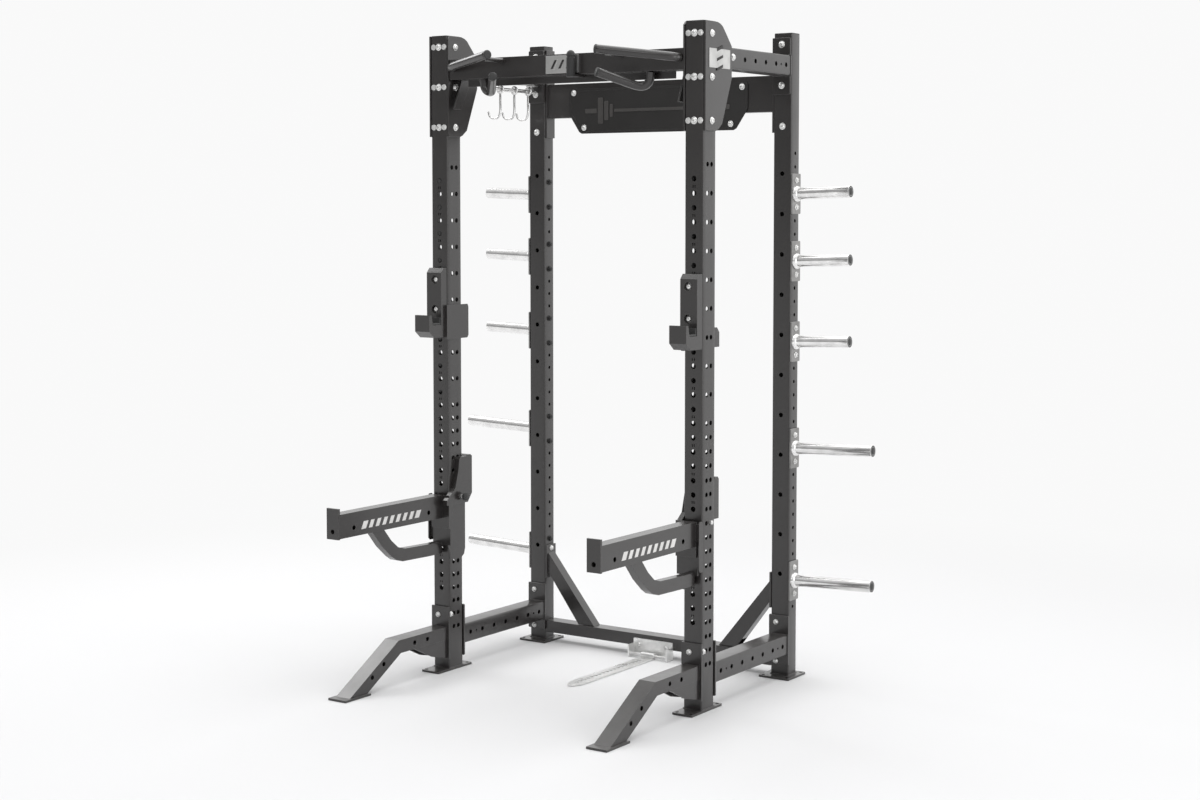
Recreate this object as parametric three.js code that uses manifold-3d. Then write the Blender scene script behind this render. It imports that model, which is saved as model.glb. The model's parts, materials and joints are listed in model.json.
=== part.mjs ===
// Half rack for barbell training: two drilled front posts with J-cups and spotter arms,
// two rear posts with plate pegs, cross beams, a band peg, pull-up grips and a platform tie.
// Millimetres, +Z up, the lifter stands on the -Y side. Built right-handed and mirrored in X.
import * as THREE from 'three';
import { mergeVertices } from 'three/addons/utils/BufferGeometryUtils.js';
import Module from 'manifold-3d';

const wasm = await Module();
wasm.setup();

// ---- driving sizes ----
const GAP = 0.3;                 // clearance between pieces that touch
const HALF_SPAN = 572;           // centre of a post from the mid plane
const REAR_Y = 624;              // rear post centre behind the front post centre
const POST_TOP = 2445;
const FRONT_POST = { x: 76, y: 85 };
const REAR_POST = { x: 76, y: 64 };
const WALL = 3;
const FOOT_T = 8;
const FRONT_FOOT = { x: 84, y0: -115, y1: 95 };
const REAR_FOOT = { x: 130, y: 140, shift: -7 };
const PITCH = 50.8;              // hole pitch up the posts
const HOLE_Z0 = 17;
const PAIR = 27;                 // spacing of the twin side holes
const HOLE_R = 9;
const PIN_R = 8;
const TUBE = 76;                 // square section of beams and side tubes
const TOP_TUBE_Z = POST_TOP - 119;
const BASE_TUBE_Z = 128.5;
const FLANGE_T = 8;
const FLANGE_W = 84;
const GUSSET_T = 8;
const BEAM_Z = POST_TOP - 128;
const REAR_BEAM = { y: 45, z0: POST_TOP - 290, z1: POST_TOP - 153 };
const FOOT_BEAM = { y: 64, z0: 38, z1: 86 };
const BRACE = 45;
const SIGN = { half: 416, z0: POST_TOP - 355, z1: POST_TOP - 175, t: 5 };
const GRIP_R = 16;
const PEG_R = 22.5;
const PEG_PLATE = { y: 65, z: 152, t: 6 };
const PEG_ROWS = [36, 31, 25, 17, 7];
const PEG_REACH = [845, 845, 845, 945, 945];
const PEG_TILT = 2;              // degrees up
const LEG = { x: 67, z: 50, run: 297, top: 172, drop: 30 };
// cup and arm heights are drawn for a pin at pinZ and carried with the row the pin sits in
const CUP = { z0: 1298, z1: 1563, pinZ: 1337.8, row: 26, depth: 35, reach: 72 };
const ARM = { x: 50, z0: 599, z1: 688, pinZ: 677.4, y0: -655.7, row: 13 };
const ARM_BRACE_X = 30;
const HOOK_R = 4.5;
const RAIL_R = 8;
const RAIL_Z = TOP_TUBE_Z - 64;
const RAIL_LENGTH = 280;
const HOOK_PITCH = 93;
const BAR = { x0: -33, x1: 27, t: 6, length: 541, back: 36, z: 14 };
const CLIP_HALF = 92;

// ---- derived places ----
const postIn = HALF_SPAN - FRONT_POST.x / 2;
const postOut = HALF_SPAN + FRONT_POST.x / 2;
const frontFace = -FRONT_POST.y / 2;
const frontBack = FRONT_POST.y / 2;
const rearFront = REAR_Y - REAR_POST.y / 2;
const rearIn = HALF_SPAN - REAR_POST.x / 2;
const rearOut = HALF_SPAN + REAR_POST.x / 2;
const rowZ = (n) => HOLE_Z0 + PITCH * n;
const cupPinZ = rowZ(CUP.row);
const armPinZ = rowZ(ARM.row);
const armPinY = PAIR / 2;
const endPlateY0 = ARM.y0 - 9.3;
const rearMost = REAR_Y + REAR_FOOT.shift + REAR_FOOT.y / 2;
const MID_Y = (endPlateY0 + rearMost) / 2;
const railY1 = rearFront - 20;
const railY0 = railY1 - RAIL_LENGTH;
const tieHinge = rearFront - BAR.back;
const tieNose = tieHinge - BAR.length;

// ---- finishes ----
const paint = { color: 0x3a3736, roughness: 0.42, metalness: 0.25 };
const chrome = { color: 0xd9d7d6, roughness: 0.12, metalness: 1.0 };
const zinc = { color: 0xc4c4c2, roughness: 0.32, metalness: 0.9 };
const plastic = { color: 0x242424, roughness: 0.6, metalness: 0.0 };
const liner = { color: 0x8c8a86, roughness: 0.5, metalness: 0.0 };

// ---- geometry helpers ----
function solid(geometry) {
  const g = geometry.clone();
  g.deleteAttribute('normal');
  g.deleteAttribute('uv');
  const m = mergeVertices(g, 1e-4);
  const mesh = new wasm.Mesh({
    numProp: 3,
    vertProperties: new Float32Array(m.attributes.position.array),
    triVerts: new Uint32Array(m.index.array),
  });
  return new wasm.Manifold(mesh);
}

function geometryOf(manifold) {
  const mesh = manifold.getMesh();
  const g = new THREE.BufferGeometry();
  g.setAttribute('position', new THREE.BufferAttribute(new Float32Array(mesh.vertProperties), 3));
  g.setIndex(new THREE.BufferAttribute(new Uint32Array(mesh.triVerts), 1));
  return g;
}

function box(x0, x1, y0, y1, z0, z1) {
  const g = new THREE.BoxGeometry(x1 - x0, y1 - y0, z1 - z0);
  g.translate((x0 + x1) / 2, (y0 + y1) / 2, (z0 + z1) / 2);
  return solid(g);
}

function rodX(r, x0, x1, y, z, sides = 16) {
  const g = new THREE.CylinderGeometry(r, r, x1 - x0, sides);
  g.rotateZ(-Math.PI / 2);
  g.translate((x0 + x1) / 2, y, z);
  return solid(g);
}

function rodY(r, x, y0, y1, z, sides = 16) {
  const g = new THREE.CylinderGeometry(r, r, y1 - y0, sides);
  g.translate(x, (y0 + y1) / 2, z);
  return solid(g);
}

function rodZ(r, x, y, z0, z1, sides = 16) {
  const g = new THREE.CylinderGeometry(r, r, z1 - z0, sides);
  g.rotateX(Math.PI / 2);
  g.translate(x, y, (z0 + z1) / 2);
  return solid(g);
}

// a plate whose outline is drawn in Y and Z and whose thickness runs along X
function plateX(outline, x0, x1) {
  const shape = new THREE.Shape(outline.map(([y, z]) => new THREE.Vector2(y, z)));
  const g = new THREE.ExtrudeGeometry(shape, { depth: x1 - x0, bevelEnabled: false });
  const frame = new THREE.Matrix4().makeBasis(
    new THREE.Vector3(0, 1, 0), new THREE.Vector3(0, 0, 1), new THREE.Vector3(1, 0, 0));
  g.applyMatrix4(frame);
  g.translate(x0, 0, 0);
  return solid(g);
}

// a plate whose outline is drawn in X and Z and whose thickness runs along Y
function plateY(outline, y0, y1) {
  const shape = new THREE.Shape(outline.map(([x, z]) => new THREE.Vector2(x, z)));
  const g = new THREE.ExtrudeGeometry(shape, { depth: y1 - y0, bevelEnabled: false });
  g.rotateX(Math.PI / 2);
  g.translate(0, y1, 0);
  return solid(g);
}

// a round bar along a smooth line
function bar(points, r, sides = 10, steps = 12, tension = 0.5) {
  const curve = new THREE.CatmullRomCurve3(
    points.map(([x, y, z]) => new THREE.Vector3(x, y, z)), false, 'catmullrom', tension);
  const ring = new THREE.Shape();
  ring.absarc(0, 0, r, 0, Math.PI * 2, false);
  const g = new THREE.ExtrudeGeometry(ring, {
    steps, curveSegments: sides / 2, bevelEnabled: false, extrudePath: curve });
  return solid(g);
}

function tubeAlongY(x, z, y0, y1, size) {
  const h = size / 2;
  const b = h - WALL;
  return box(x - h, x + h, y0, y1, z - h, z + h)
    .subtract(box(x - b, x + b, y0 - 1, y1 + 1, z - b, z + b));
}

// the whole rack is drawn about the front posts and then centred on its own footprint
const rack = new THREE.Group();
rack.name = 'half_rack';
const group = new THREE.Group();
group.position.y = -MID_Y;
rack.add(group);

function add(name, manifold, finish) {
  const g = geometryOf(manifold);
  g.computeVertexNormals();
  const mesh = new THREE.Mesh(g, new THREE.MeshStandardMaterial({ ...finish, flatShading: true }));
  mesh.name = name;
  group.add(mesh);
}

// the right-hand piece as drawn and its mirror image on the left
function addPair(name, manifold, finish) {
  add(name + '_right', manifold, finish);
  add(name + '_left', manifold.mirror([1, 0, 0]), finish);
}

// ---- posts, each with its welded foot plate ----
const fx = FRONT_POST.x / 2;
const fy = FRONT_POST.y / 2;
const frontPost = box(postIn, postOut, -fy, fy, FOOT_T, POST_TOP)
  .subtract(box(postIn + WALL, postOut - WALL, -fy + WALL, fy - WALL, FOOT_T, POST_TOP + 1))
  .add(box(HALF_SPAN - FRONT_FOOT.x / 2, HALF_SPAN + FRONT_FOOT.x / 2, FRONT_FOOT.y0, FRONT_FOOT.y1, 0, FOOT_T))
  .subtract(rodX(HOLE_R, postIn - 1, postIn + WALL + 1, PAIR / 2, cupPinZ))
  .subtract(rodX(HOLE_R, postIn - 1, postIn + WALL + 1, -PAIR / 2, cupPinZ))
  .subtract(rodX(HOLE_R, postIn - 1, postOut + 1, armPinY, armPinZ));
addPair('front_post', frontPost, paint);

const rearFootX = HALF_SPAN - 2;
const rearFootY = REAR_Y + REAR_FOOT.shift;
const rearPost = box(rearIn, rearOut, rearFront, REAR_Y + REAR_POST.y / 2, FOOT_T, POST_TOP)
  .subtract(box(rearIn + WALL, rearOut - WALL, rearFront + WALL,
    REAR_Y + REAR_POST.y / 2 - WALL, FOOT_T, POST_TOP + 1))
  .add(box(rearFootX - REAR_FOOT.x / 2, rearFootX + REAR_FOOT.x / 2,
    rearFootY - REAR_FOOT.y / 2, rearFootY + REAR_FOOT.y / 2, 0, FOOT_T));
addPair('rear_post', rearPost, paint);

// ---- gusset plates on both sides of each front post ----
const gussetOutline = [
  [-43, -381], [29, -381], [44, -375], [71, -355], [102, -277], [137, -192], [137, -79],
  [106, -45], [74, -12], [59, -4], [40, 1], [15, 2], [-43, 2]].map(([y, z]) => [y, POST_TOP + z]);
addPair('gusset_outer', plateX(gussetOutline, postOut + GAP, postOut + GAP + GUSSET_T), paint);
const innerOutline = gussetOutline.slice(0, -1).concat([[-31, POST_TOP + 2], [-43, POST_TOP - 10]]);
addPair('gusset_inner', plateX(innerOutline, postIn - GAP - GUSSET_T, postIn - GAP), paint);

// ---- side tubes ----
const half = TUBE / 2;
const sideY0 = frontBack + GAP;
const sideY1 = rearFront - GAP;
const rearFlangeTop = box(HALF_SPAN - 40, postOut - 3, sideY1 - FLANGE_T, sideY1,
  TOP_TUBE_Z - 108, TOP_TUBE_Z + 104);
const bore = box(HALF_SPAN - half + WALL, HALF_SPAN + half - WALL, sideY0 - 1, sideY1 + 1,
  TOP_TUBE_Z - half + WALL, TOP_TUBE_Z + half - WALL);
const topTube = tubeAlongY(HALF_SPAN, TOP_TUBE_Z, sideY0, sideY1, TUBE).add(rearFlangeTop).subtract(bore);
addPair('top_side_tube', topTube, paint);

const flangeX0 = HALF_SPAN - FLANGE_W / 2;
const flangeX1 = HALF_SPAN + FLANGE_W / 2;
const baseBore = box(HALF_SPAN - half + WALL, HALF_SPAN + half - WALL, sideY0 - 1, sideY1 + 1,
  BASE_TUBE_Z - half + WALL, BASE_TUBE_Z + half - WALL);
const baseTube = tubeAlongY(HALF_SPAN, BASE_TUBE_Z, sideY0, sideY1, TUBE)
  .add(box(flangeX0, flangeX1, sideY0, sideY0 + FLANGE_T, 45, 246))
  .add(box(flangeX0, flangeX1, sideY1 - FLANGE_T, sideY1, 50, 240))
  .subtract(baseBore);
addPair('base_side_tube', baseTube, paint);

// ---- front legs: mounting plate, bent tube, foot pad and side gussets ----
const slope = Math.tan(LEG.drop * Math.PI / 180);
const legY0 = frontFace - GAP - FLANGE_T;
const legBend = frontFace - LEG.run;
const legToe = legBend - (LEG.top - FOOT_T) / slope;
const legHeel = legBend + 12 - (LEG.top - LEG.z - FOOT_T) / slope;
const legOutline = (t) => [
  [legY0 + 1, LEG.top - LEG.z + t], [legY0 + 1, LEG.top - t],
  [legBend + t * 0.27, LEG.top - t], [legToe + 2.2 * t, FOOT_T - 4],
  [legHeel - 2.2 * t, FOOT_T - 4], [legBend + 12 + t * 0.27, LEG.top - LEG.z + t]].reverse();
let leg = plateX(legOutline(0), HALF_SPAN - LEG.x / 2, HALF_SPAN + LEG.x / 2)
  .subtract(plateX(legOutline(WALL), HALF_SPAN - LEG.x / 2 + WALL, HALF_SPAN + LEG.x / 2 - WALL));
leg = leg.add(box(flangeX0, flangeX1, legY0, legY0 + FLANGE_T, 45, 250))
  .add(box(flangeX0, flangeX1, legToe - 26, legHeel + 16, 0, FOOT_T));
const legGusset = [[-248, 123], [-142, 72], [legY0 + 1, 50], [legY0 + 1, 123]];
leg = leg.add(plateX(legGusset, HALF_SPAN + LEG.x / 2 - 7, HALF_SPAN + LEG.x / 2 - 1))
  .add(plateX(legGusset, HALF_SPAN - LEG.x / 2 + 1, HALF_SPAN - LEG.x / 2 + 7));
const legHoles = [[-170, 147], [-246, 147], [-425.5, 99], [-491, 61.5]];
for (const [y, z] of legHoles) {
  leg = leg.subtract(rodX(HOLE_R, HALF_SPAN - LEG.x, HALF_SPAN + LEG.x, y, z, 12));
}
addPair('front_leg', leg, paint);

// ---- rear foot beam and the two diagonal braces that stand on it ----
const beamEnd = rearIn - GAP;
const footBeam = box(-beamEnd, beamEnd, rearFront, rearFront + FOOT_BEAM.y, FOOT_BEAM.z0, FOOT_BEAM.z1)
  .subtract(box(-beamEnd - 1, beamEnd + 1, rearFront + WALL, rearFront + FOOT_BEAM.y - WALL,
    FOOT_BEAM.z0 + WALL, FOOT_BEAM.z1 - WALL));
add('rear_foot_beam', footBeam, paint);

const braceY = REAR_Y;
const braceFoot = FOOT_BEAM.z1 + GAP;
function braceBar(t, y) {
  const outline = [[296 + t, braceFoot - (t ? 5 : 0)], [374 - t, braceFoot - (t ? 5 : 0)],
    [beamEnd - 5, 292 + t * 1.5], [beamEnd - 5, 372 - t * 1.5]];
  return plateY(outline, y - BRACE / 2 + t, y + BRACE / 2 - t);
}
const brace = braceBar(0, braceY)
  .add(box(beamEnd - 8, beamEnd, braceY - 32, braceY + 32, 262, 400))
  .subtract(braceBar(WALL, braceY));
addPair('diagonal_brace', brace, paint);

// ---- rear top beam with end flanges, and the sign plate on its front ----
const rbY0 = REAR_Y - 20;
const rbY1 = rbY0 + REAR_BEAM.y;
const endLow = REAR_BEAM.z0 - 79;
const endTop = REAR_BEAM.z1 + 139;
const rearBeam = box(-beamEnd, beamEnd, rbY0, rbY1, REAR_BEAM.z0, REAR_BEAM.z1)
  .add(box(beamEnd - 9, beamEnd, REAR_Y - 28, REAR_Y + 28, endLow, endTop))
  .add(box(-beamEnd, -beamEnd + 9, REAR_Y - 28, REAR_Y + 28, endLow, endTop))
  .subtract(box(-beamEnd - 1, beamEnd + 1, rbY0 + WALL, rbY1 - WALL, REAR_BEAM.z0 + WALL, REAR_BEAM.z1 - WALL));
add('rear_top_beam', rearBeam, paint);

const signOutline = (inset) => {
  const w = SIGN.half - inset;
  const a = SIGN.z0 + inset;
  const b = SIGN.z1 - inset;
  return [[-w + 62, a], [w - 62, a], [w - 50, a + 7], [w - 3, a + 76], [w, a + 90],
    [w, b - 8], [w - 8, b], [-w + 8, b], [-w, b - 8], [-w, a + 90], [-w + 3, a + 76], [-w + 50, a + 7]];
};
const signY1 = rbY0 - GAP;
const signY0 = signY1 - SIGN.t;
const sign = plateY(signOutline(0), signY0, signY1)
  .subtract(plateY(signOutline(9), signY0 - 1, signY0 + 1.2));
add('sign_plate', sign, paint);

// ---- front top beam, its plain badge and the band peg ----
const fbEnd = postIn - GUSSET_T - 2 * GAP;
const fbTop = BEAM_Z + half;
const fbLow = BEAM_Z - half;
const wing = [[-half, fbLow - 112], [0, fbLow - 112], [65, fbLow - 2], [65, fbLow + 20],
  [6, fbLow + 20], [6, fbLow]];
const stripY = 4;
let frontBeam = box(-fbEnd, fbEnd, -half, half, fbLow, fbTop)
  .add(plateX(wing, fbEnd - 26, fbEnd - 18))
  .add(plateX(wing, -fbEnd + 18, -fbEnd + 26))
  .add(box(-fbEnd + 60, fbEnd - 60, stripY, stripY + 6, fbLow - 27, fbLow + 1));
frontBeam = frontBeam.subtract(box(-fbEnd - 1, fbEnd + 1, -half + WALL, half - WALL, fbLow + WALL, fbTop - WALL));
add('front_top_beam', frontBeam, paint);

const badgeY = -half - GAP;
let badge = box(-66, 79, badgeY - 8, badgeY, fbLow + 6, fbTop - 5);
for (const k of [0, 1, 2]) {
  const x = -38 + 34 * k;
  badge = badge.add(plateY([[x, BEAM_Z - 17], [x + 12, BEAM_Z - 17], [x + 28, BEAM_Z + 18],
    [x + 16, BEAM_Z + 18]], badgeY - 10, badgeY - 7));
}
add('beam_badge', badge, zinc);

const bandPegY = badgeY - 10 - GRIP_R - 1;
const bandPeg = rodZ(GRIP_R, 60, bandPegY, fbLow - 11, fbTop - 3, 16)
  .add(rodZ(GRIP_R - 3, 60, bandPegY, fbTop - 3, fbTop + 5, 16))
  .add(rodZ(GRIP_R - 8, 60, bandPegY, fbTop + 5, fbTop + 10, 16))
  .add(box(45, 75, bandPegY, stripY - GAP, fbLow - 11, fbLow - GAP));
add('band_peg', bandPeg, plastic);

// ---- pull-up grips ----
const gripFace = -half - GAP;
const upper = bar([[508, gripFace + 12, BEAM_Z + 5], [500, gripFace - 14, BEAM_Z + 6],
  [470, gripFace - 42, BEAM_Z + 10], [357, -125, BEAM_Z + 24], [243, -169, BEAM_Z + 38]], GRIP_R, 10, 12)
  .add(rodY(9, 268, -156, gripFace, BEAM_Z + 24, 10));
const beamCut = box(200, 540, gripFace, gripFace + 60, fbLow - 30, fbTop + 50);
addPair('upper_grip', upper.subtract(beamCut), paint);

const lower = bar([[234, -147, fbLow - 4], [286, -84, fbLow - 30], [334, -27, fbLow - 51],
  [366, -18, fbLow - 39], [377, -20, fbLow + 11]], GRIP_R, 10, 14)
  .subtract(box(200, 540, -80, 60, fbLow - GAP, fbLow + 60));
addPair('lower_grip', lower, paint);

// ---- plate pegs on the rear posts ----
const pegPlateX = rearOut + GAP;
PEG_ROWS.forEach((n, k) => {
  const z = rowZ(n);
  const x0 = pegPlateX + PEG_PLATE.t;
  const capT = 12;
  const tilt = THREE.MathUtils.degToRad(-PEG_TILT);
  const turn = (m) => m.translate([-x0, 0, -z]).rotate([0, -PEG_TILT, 0]).translate([x0, 0, z]);
  const tip = x0 + (PEG_REACH[k] - x0) / Math.cos(tilt);
  const shaft = turn(rodX(PEG_R, x0 - 3, tip - capT - GAP, REAR_Y, z, 16)
    .add(rodX(30, x0 - 2, x0 + 12, REAR_Y, z, 16)));
  const plate = box(pegPlateX, x0, REAR_Y - PEG_PLATE.y / 2, REAR_Y + PEG_PLATE.y / 2,
    z - PEG_PLATE.z / 2, z + PEG_PLATE.z / 2);
  const keep = box(pegPlateX, 1200, 0, 1200, 0, 2600);
  addPair('plate_peg_' + (k + 1), shaft.intersect(keep).add(plate), chrome);
  const cap = turn(rodX(PEG_R, tip - capT, tip - 2, REAR_Y, z, 16)
    .add(rodX(PEG_R - 3, tip - 4, tip, REAR_Y, z, 16)));
  addPair('peg_cap_' + (k + 1), cap, plastic);
});

// ---- J-cups: hollow-backed body in front, plate inside, tab behind, twin pins ----
const cupX0 = postIn - 6 - GAP;
const cupX1 = postOut - 4;
const cupBodyX0 = postIn + 4;
const cupBodyX1 = postOut - 2;
const cupBack = frontFace - GAP;
const cupFront = cupBack - CUP.depth;
const lip = cupFront - CUP.reach;
const cupBody = [[cupBack, CUP.z0], [cupBack, CUP.z1], [cupFront + 16, CUP.z1], [cupFront, CUP.z1 - 18],
  [cupFront, 1346], [lip + 22, 1346], [lip + 14, 1385], [lip, 1385], [lip, 1322], [lip + 30, CUP.z0]];
const cupPlate = [[cupBack - 12, 1290], [cupBack - 12, 1421], [73, 1421], [78, 1410], [78, 1300], [70, 1290]];
const cupTab = [[frontBack + 2.5, 1300], [78, 1300], [78, 1352], [62, 1370], [frontBack + 2.5, 1370]];
let cup = plateX(cupBody, cupBodyX0, cupBodyX1)
  .add(box(cupX0, cupBodyX0 + 1, cupBack - 12, cupBack, 1290, 1421))
  .add(plateX(cupPlate, cupX0, postIn - GAP))
  .add(plateX(cupTab, cupX0, cupX1))
  .add(rodX(PIN_R, postIn - 2, postIn + 20, PAIR / 2, CUP.pinZ))
  .add(rodX(PIN_R, postIn - 2, postIn + 20, -PAIR / 2, CUP.pinZ));
for (const z of [1405, 1519]) {
  cup = cup.subtract(rodY(16, HALF_SPAN - 3, cupFront - 1, cupFront + 14, z, 16));
}
const cupLift = cupPinZ - CUP.pinZ;
addPair('j_cup', cup.translate([0, 0, cupLift]), paint);
const linerOutline = [[cupFront - GAP, 1346 + GAP], [cupFront - GAP, 1374], [cupFront - 5, 1374],
  [cupFront - 7, 1353], [lip + 26, 1353], [lip + 23, 1346 + GAP]];
const cupLiner = plateX(linerOutline, cupBodyX0 + 2, cupBodyX1 - 2);
addPair('j_cup_liner', cupLiner.translate([0, 0, cupLift]), liner);

// ---- spotter arms: tube, end plate, bent brace and a carriage beside and behind the post ----
const armX0 = HALF_SPAN - ARM.x / 2;
const armX1 = HALF_SPAN + ARM.x / 2;
const armBack = cupBack - 17.5;
const carX0 = postIn - 20;
const keeperX0 = postOut + GAP;
const keeperX1 = keeperX0 + 4;
const shoe = cupBack - 15;
const bracePath = [[-467, 601], [-410, 535.7], [-357.7, 491.7], [-330, 474], [-291, 463], [-130, 459],
  [shoe + 2, 459], [shoe + 2, 505], [-120, 505], [-278, 510], [-318, 521], [-357.7, 552.7], [-400, 601]];
const cheek = [[-78, 650], [-78, 670], [-26, 711], [-7, 777], [0, 822], [8, 830], [78, 830],
  [78, 684], [52, 650]];
const sidePlate = [[shoe + 1, 500], [shoe + 1, 652], [51, 652], [51, 470], [44, 446], [30, 436],
  [-38, 436], [cupBack, 470]];
const keeper = [[-70, 516], [-70, 680], [-64, 689], [-50, 689], [cupBack, 680], [cupBack, 508], [-62, 508]];
const rearBlock = [[frontBack + 2.5, 684], [78, 684], [78, 826], [70, 835], [frontBack + 10, 835],
  [frontBack + 2.5, 827]];
let arm = box(armX0, armX1, ARM.y0, armBack, ARM.z0, ARM.z1)
  .subtract(box(armX0 + WALL, armX1 - WALL, ARM.y0 - 1, armBack + 1, ARM.z0 + WALL, ARM.z1 - WALL))
  .add(box(armX0 - 3, armX1 + 3, endPlateY0, ARM.y0, 597, 710))
  .add(plateX(bracePath, HALF_SPAN - ARM_BRACE_X / 2, HALF_SPAN + ARM_BRACE_X / 2))
  .add(box(carX0, armX1 + 3, shoe, cupBack, 494, 655))
  .add(box(armX1, keeperX1, shoe, shoe + 6, 520, 650))
  .add(box(carX0, armX1 + 3, armBack - 6, armBack, 560, ARM.z1))
  .add(box(armX1, keeperX1, armBack - 8, armBack, 620, 680))
  .add(box(carX0, armX1, armBack, shoe + 1, 560, 655))
  .add(plateX(cheek, carX0, postIn - GAP))
  .add(plateX(sidePlate, postIn - GAP - 6, postIn - GAP))
  .add(plateX(keeper, keeperX0, keeperX1))
  .add(plateX(rearBlock, carX0, cupX1));
for (const [y, z] of [[-577, 631], [-148, 630]]) {
  arm = arm.subtract(rodX(HOLE_R, armX0 - 9, armX1 + 9, y, z, 12));
}
arm = arm.subtract(rodY(HOLE_R, HALF_SPAN, endPlateY0 - 1, ARM.y0 + 1, 625, 12))
  .subtract(rodX(PIN_R + GAP, carX0 - 1, postIn, armPinY, ARM.pinZ, 16));
addPair('spotter_arm', arm.translate([0, 0, armPinZ - ARM.pinZ]), paint);

const armPin = rodX(PIN_R, carX0 - 14, postOut + 9, armPinY, armPinZ, 16)
  .add(rodX(16, carX0 - 26, carX0 - 12, armPinY, armPinZ, 16));
addPair('arm_pin', armPin, zinc);

// ---- accessory rail with swinging hooks under the left side tube ----
const railX = -HALF_SPAN;
const tubeLow = TOP_TUBE_Z - half - GAP;
let rail = rodY(RAIL_R, railX, railY0, railY1, RAIL_Z, 16);
for (const y of [railY0 + 8, railY1 - 20]) {
  rail = rail.add(box(railX - 4, railX + 4, y, y + 12, RAIL_Z - 4, tubeLow))
    .add(box(railX - 20, railX + 20, y - 8, y + 20, tubeLow - 5, tubeLow));
}
add('hook_rail', rail, chrome);
for (const k of [0, 1, 2]) {
  const y = railY0 + 53 + HOOK_PITCH * k;
  const eye = RAIL_R + GAP * 4 + HOOK_R;
  const ring = new THREE.TorusGeometry(eye, HOOK_R, 6, 14);
  ring.rotateX(Math.PI / 2);
  ring.translate(railX, y, RAIL_Z);
  const stem = bar([[railX, y, RAIL_Z - eye], [railX, y, RAIL_Z - 47], [railX, y, RAIL_Z - 84],
    [railX - 8, y, RAIL_Z - 107], [railX - 30, y, RAIL_Z - 116], [railX - 52, y, RAIL_Z - 107],
    [railX - 60, y, RAIL_Z - 86]], HOOK_R, 6, 14);
  add('rack_hook_' + (k + 1), solid(ring).add(stem), chrome);
}

// ---- platform tie: clip on the rear foot beam and a hinged, drilled floor bar ----
const clipY = rearFront - GAP;
const clip = box(-CLIP_HALF, CLIP_HALF, clipY - 6, clipY, 2, 70)
  .add(box(-CLIP_HALF, -CLIP_HALF + 6, tieHinge - 14, clipY, 2, 50))
  .add(box(CLIP_HALF - 6, CLIP_HALF, tieHinge - 14, clipY, 2, 50))
  .add(rodX(5, -CLIP_HALF + 1, CLIP_HALF - 1, tieHinge, BAR.z, 16));
add('tie_clip', clip, zinc);

const barLow = 1;
const barMid = (BAR.x0 + BAR.x1) / 2;
const tieOutline = [[BAR.x0, tieHinge], [BAR.x0, tieNose + 40], [barMid - 14, tieNose], [barMid + 14, tieNose],
  [BAR.x1, tieNose + 40], [BAR.x1, tieHinge]];
const tieShape = new THREE.Shape(tieOutline.map(([x, y]) => new THREE.Vector2(x, y)));
const tieGeometry = new THREE.ExtrudeGeometry(tieShape, { depth: BAR.t, bevelEnabled: false });
tieGeometry.translate(0, 0, barLow);
let tie = solid(tieGeometry).add(rodX(12, BAR.x0, BAR.x1, tieHinge, BAR.z, 20));
tie = tie.subtract(rodX(5 + GAP, BAR.x0 - 1, BAR.x1 + 1, tieHinge, BAR.z, 20));
for (let y = tieNose + 45; y < tieHinge - 30; y += PITCH) {
  tie = tie.subtract(rodZ(HOLE_R, barMid, y, barLow - 1, barLow + BAR.t + 1, 8));
}
add('floor_tie_bar', tie, zinc);

export default rack;
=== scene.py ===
# %% [markdown]
# A half rack for barbell training. The steel frame arrives ready made as the fixed frame of this
# scene: every piece of it has its place and its joint there. This lesson dresses that frame. Tubes get
# their rolled corners and rows of punched holes, plates get softened edges and bolts, and every
# surface gets a finish with the fine detail of the real one.

# %% Load the frame
import bpy
import bmesh
import json
import math
import random
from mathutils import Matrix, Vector


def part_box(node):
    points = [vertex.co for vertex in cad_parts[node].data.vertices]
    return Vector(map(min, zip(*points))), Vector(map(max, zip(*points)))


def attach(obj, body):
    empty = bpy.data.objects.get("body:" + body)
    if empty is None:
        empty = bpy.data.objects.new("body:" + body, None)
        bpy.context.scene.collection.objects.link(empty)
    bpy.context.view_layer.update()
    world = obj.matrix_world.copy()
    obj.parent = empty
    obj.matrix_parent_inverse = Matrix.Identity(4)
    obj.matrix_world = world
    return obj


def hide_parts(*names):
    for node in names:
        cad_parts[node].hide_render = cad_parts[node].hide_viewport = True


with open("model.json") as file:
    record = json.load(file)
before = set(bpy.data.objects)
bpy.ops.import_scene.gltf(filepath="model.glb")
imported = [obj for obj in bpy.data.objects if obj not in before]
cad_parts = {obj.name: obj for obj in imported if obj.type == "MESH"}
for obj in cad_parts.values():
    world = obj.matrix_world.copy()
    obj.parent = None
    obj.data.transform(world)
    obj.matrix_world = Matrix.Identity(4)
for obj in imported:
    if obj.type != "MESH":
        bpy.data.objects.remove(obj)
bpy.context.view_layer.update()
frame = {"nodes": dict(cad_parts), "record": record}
joints = {joint["name"]: joint for joint in frame["record"]["behaviour"]["joints"]}
random.seed(7)

# %% [markdown]
# A rack is set out from a few numbers: where the posts stand and how far apart the holes are. The
# spotter arm turns on a pin through row 13 of the post, half a hole pair behind the middle, so that
# pin gives the middle of the post and the height of every other row.

# %% Set out the posts and the hole rows
MM = 0.001
PAIR = 27 * MM
PITCH = 50.8 * MM
pin = joints["arm_lift_right"]["pos_m"]
POST_X = pin[0]
POST_Y = pin[1] - PAIR / 2
REAR_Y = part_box("rear_foot_beam")[0][1] + 32 * MM
FRONT_HALF = (38, 42.5)
REAR_HALF = (38, 32)
FRONT_FACE = POST_Y - FRONT_HALF[1] * MM
POST_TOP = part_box("front_post_right")[1][2]
SIDES = (("right", 1), ("left", -1))


def row(n):
    """Height of hole row n on a post."""
    return pin[2] + PITCH * (n - 13)


def at_y(mm):
    """A depth given in millimetres behind the front posts' middle, in the frame's metres."""
    return POST_Y + mm * MM


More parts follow.
